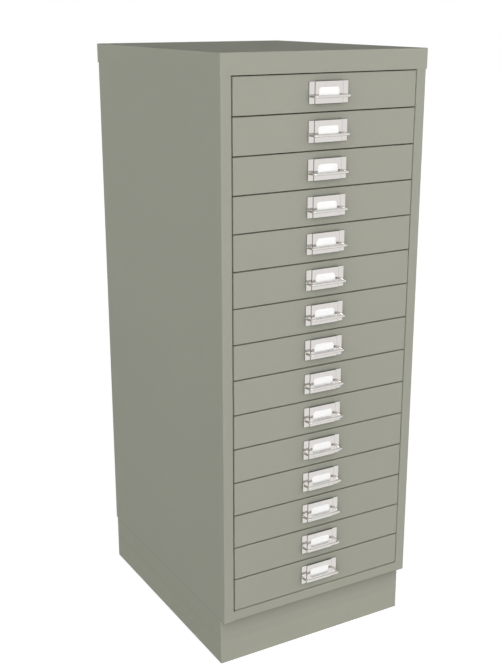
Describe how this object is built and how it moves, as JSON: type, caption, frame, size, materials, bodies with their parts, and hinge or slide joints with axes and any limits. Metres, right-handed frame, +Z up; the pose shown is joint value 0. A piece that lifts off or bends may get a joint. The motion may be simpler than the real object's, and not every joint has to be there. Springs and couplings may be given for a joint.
{
  "type": "multi-drawer cabinet",
  "caption": "Tall narrow steel cabinet of shallow sliding drawers for flat papers, with a capped top, a set-back plinth and a chromed label holder with a bar on each drawer.",
  "frame": {"origin": "on the floor, in the middle of everything the cabinet covers, handles included", "axes": "+Z up, +X to the right of someone facing the drawers, -Y towards that person"},
  "size_m": [0.349, 0.442, 0.94],
  "materials": {
    "body_paint": "sage grey powder coat, smooth satin",
    "drawer_paint": "sage grey powder coat, smooth satin",
    "bright_chrome": "bright chrome plate over pressed steel",
    "label_card": "plain white card, blank",
    "zinc_steel": "zinc-plated steel"
  },
  "bodies": {
    "root": {"left_side_panel": "body_paint", "right_side_panel": "body_paint", "back_panel": "body_paint", "carcass_top": "body_paint", "top_cap": "body_paint", "cap_nuts": "zinc_steel", "base_pan": "body_paint", "front_bottom_rail": "body_paint", "plinth": "body_paint", "plinth_bolts": "zinc_steel", "plinth_nuts": "zinc_steel", "left_uprights": "zinc_steel", "right_uprights": "zinc_steel", "left_runners": "zinc_steel", "right_runners": "zinc_steel"},
    "drawer_01_body": {"drawer_01": "drawer_paint", "handle_01": "bright_chrome", "label_card_01": "label_card"},
    "drawer_02_body": {"drawer_02": "drawer_paint", "handle_02": "bright_chrome", "label_card_02": "label_card"},
    "drawer_03_body": {"drawer_03": "drawer_paint", "handle_03": "bright_chrome", "label_card_03": "label_card"},
    "drawer_04_body": {"drawer_04": "drawer_paint", "handle_04": "bright_chrome", "label_card_04": "label_card"},
    "drawer_05_body": {"drawer_05": "drawer_paint", "handle_05": "bright_chrome", "label_card_05": "label_card"},
    "drawer_06_body": {"drawer_06": "drawer_paint", "handle_06": "bright_chrome", "label_card_06": "label_card"},
    "drawer_07_body": {"drawer_07": "drawer_paint", "handle_07": "bright_chrome", "label_card_07": "label_card"},
    "drawer_08_body": {"drawer_08": "drawer_paint", "handle_08": "bright_chrome", "label_card_08": "label_card"},
    "drawer_09_body": {"drawer_09": "drawer_paint", "handle_09": "bright_chrome", "label_card_09": "label_card"},
    "drawer_10_body": {"drawer_10": "drawer_paint", "handle_10": "bright_chrome", "label_card_10": "label_card"},
    "drawer_11_body": {"drawer_11": "drawer_paint", "handle_11": "bright_chrome", "label_card_11": "label_card"},
    "drawer_12_body": {"drawer_12": "drawer_paint", "handle_12": "bright_chrome", "label_card_12": "label_card"},
    "drawer_13_body": {"drawer_13": "drawer_paint", "handle_13": "bright_chrome", "label_card_13": "label_card"},
    "drawer_14_body": {"drawer_14": "drawer_paint", "handle_14": "bright_chrome", "label_card_14": "label_card"},
    "drawer_15_body": {"drawer_15": "drawer_paint", "handle_15": "bright_chrome", "label_card_15": "label_card"}
  },
  "joints": [
    {"name": "drawer_01_slide", "type": "slide", "parent": "root", "child": "drawer_01_body", "axis": [0, -1, 0], "range_m": [0, 0.3157]},
    {"name": "drawer_02_slide", "type": "slide", "parent": "root", "child": "drawer_02_body", "axis": [0, -1, 0], "range_m": [0, 0.3157]},
    {"name": "drawer_03_slide", "type": "slide", "parent": "root", "child": "drawer_03_body", "axis": [0, -1, 0], "range_m": [0, 0.3157]},
    {"name": "drawer_04_slide", "type": "slide", "parent": "root", "child": "drawer_04_body", "axis": [0, -1, 0], "range_m": [0, 0.3157]},
    {"name": "drawer_05_slide", "type": "slide", "parent": "root", "child": "drawer_05_body", "axis": [0, -1, 0], "range_m": [0, 0.3157]},
    {"name": "drawer_06_slide", "type": "slide", "parent": "root", "child": "drawer_06_body", "axis": [0, -1, 0], "range_m": [0, 0.3157]},
    {"name": "drawer_07_slide", "type": "slide", "parent": "root", "child": "drawer_07_body", "axis": [0, -1, 0], "range_m": [0, 0.3157]},
    {"name": "drawer_08_slide", "type": "slide", "parent": "root", "child": "drawer_08_body", "axis": [0, -1, 0], "range_m": [0, 0.3157]},
    {"name": "drawer_09_slide", "type": "slide", "parent": "root", "child": "drawer_09_body", "axis": [0, -1, 0], "range_m": [0, 0.3157]},
    {"name": "drawer_10_slide", "type": "slide", "parent": "root", "child": "drawer_10_body", "axis": [0, -1, 0], "range_m": [0, 0.3157]},
    {"name": "drawer_11_slide", "type": "slide", "parent": "root", "child": "drawer_11_body", "axis": [0, -1, 0], "range_m": [0, 0.3157]},
    {"name": "drawer_12_slide", "type": "slide", "parent": "root", "child": "drawer_12_body", "axis": [0, -1, 0], "range_m": [0, 0.3157]},
    {"name": "drawer_13_slide", "type": "slide", "parent": "root", "child": "drawer_13_body", "axis": [0, -1, 0], "range_m": [0, 0.3157]},
    {"name": "drawer_14_slide", "type": "slide", "parent": "root", "child": "drawer_14_body", "axis": [0, -1, 0], "range_m": [0, 0.3157]},
    {"name": "drawer_15_slide", "type": "slide", "parent": "root", "child": "drawer_15_body", "axis": [0, -1, 0], "range_m": [0, 0.3157]}
  ]
}
